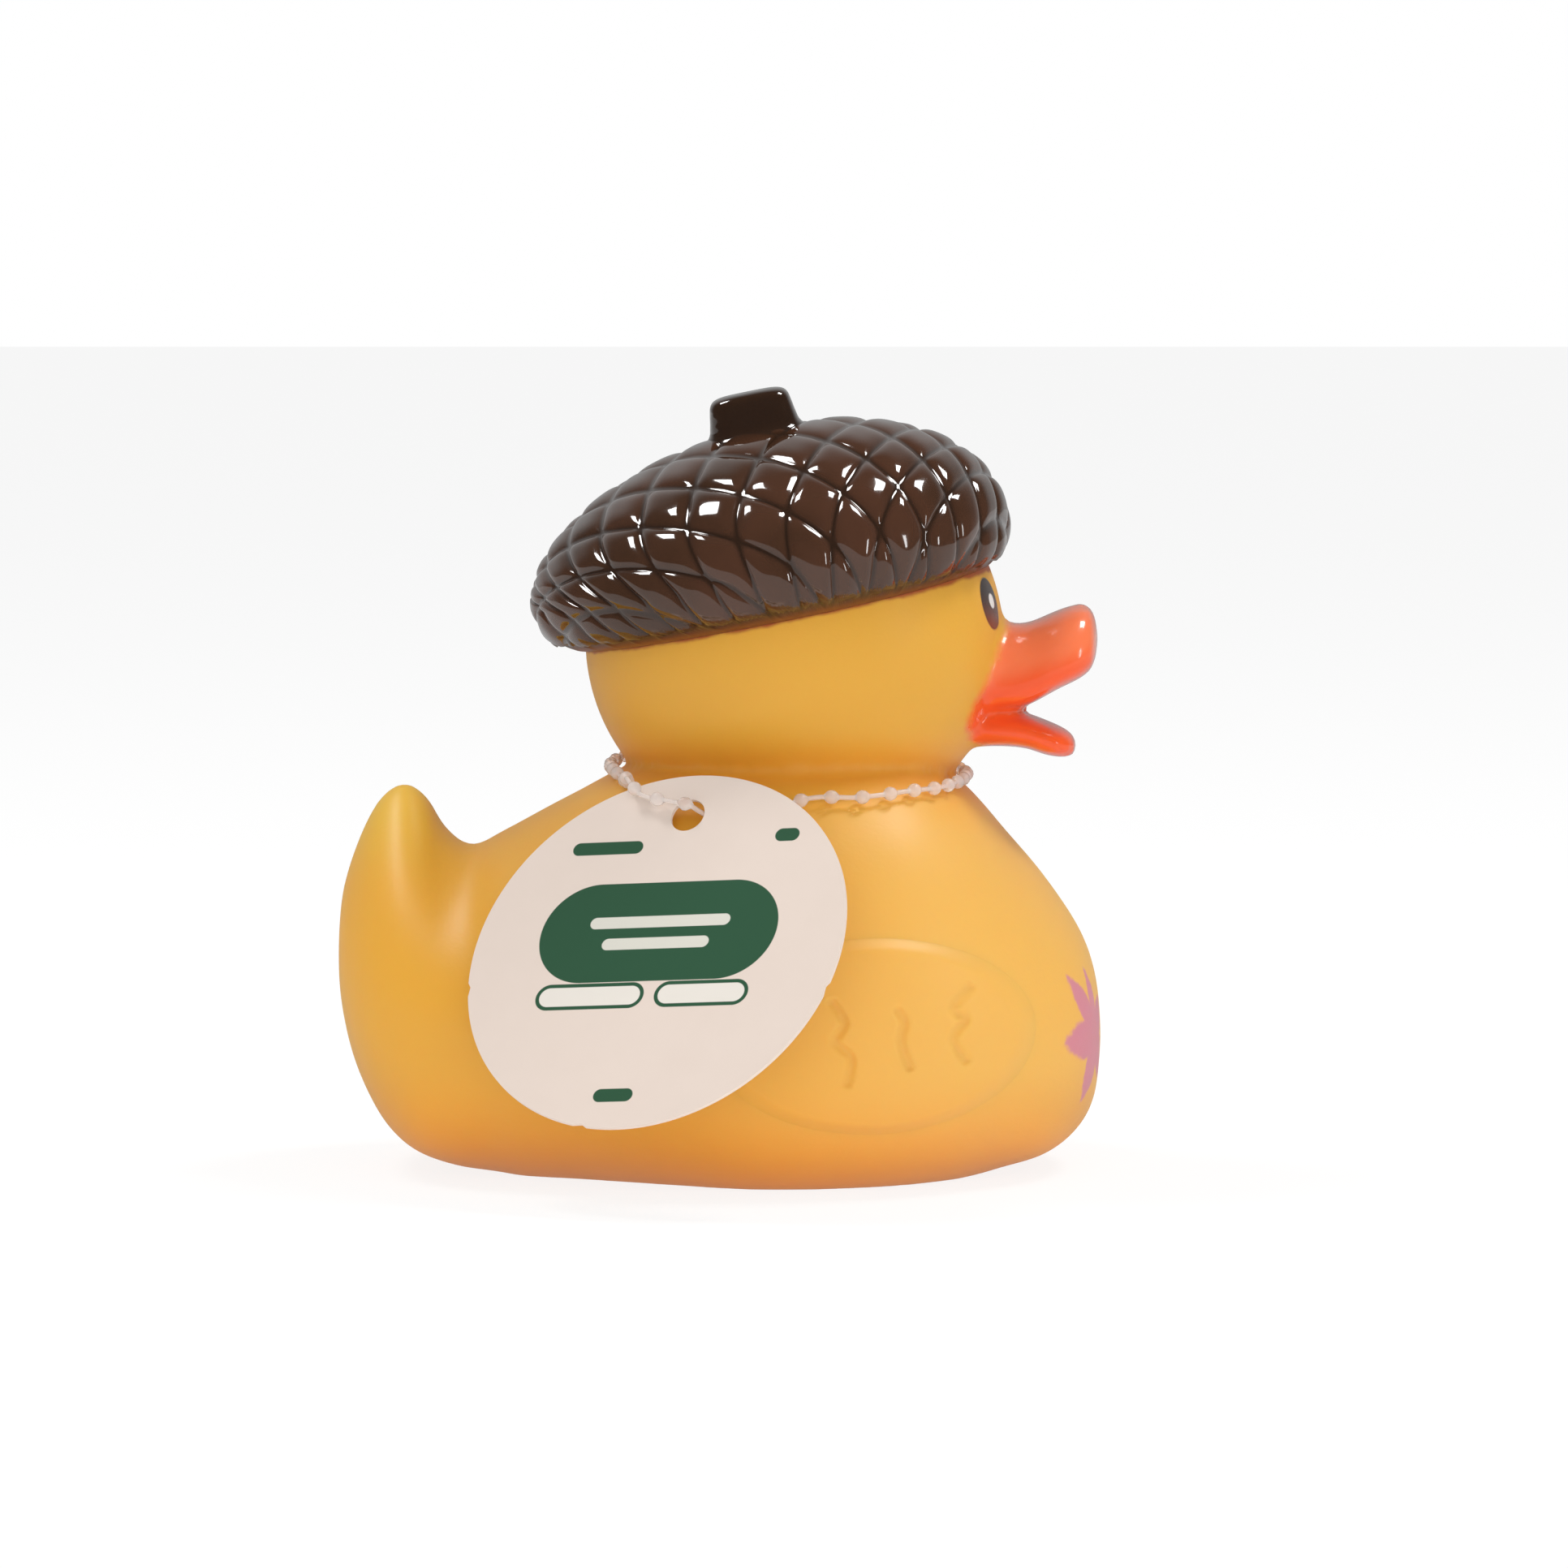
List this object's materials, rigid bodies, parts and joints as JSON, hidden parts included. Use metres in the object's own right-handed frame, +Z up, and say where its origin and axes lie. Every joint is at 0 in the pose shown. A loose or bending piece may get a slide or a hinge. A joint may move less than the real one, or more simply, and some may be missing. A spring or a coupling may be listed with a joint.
{
  "type": "rubber duck",
  "caption": "Hollow vinyl toy duck wearing an acorn cap, with a squeaker in its base and a round card tag on a beaded loop round its neck.",
  "frame": {"origin": "a point on the flat base, in the duck's middle plane, 48.3 mm in front of the rear of the tail and 7.9 mm behind the middle of the head", "axes": "+X forwards, from the tail to the bill, +Y to the duck's left, +Z up from the base to the cap's stem"},
  "size_m": [0.094, 0.0947, 0.0961],
  "materials": {
    "vinyl": "matt yellow, with gloss brown paint on the cap and eyes, orange on the bill and a pink leaf on the breast",
    "plug_plastic": "white, as moulded",
    "reed": "thin rolled strip",
    "card": "cream card, printed on its face",
    "clear_plastic": "frosted clear"
  },
  "bodies": {
    "root": {"duck_body": "vinyl", "squeaker_plug": "plug_plastic", "squeaker_reed": "reed", "hang_tag": "card", "tag_loop": "clear_plastic"}
  },
  "joints": []
}
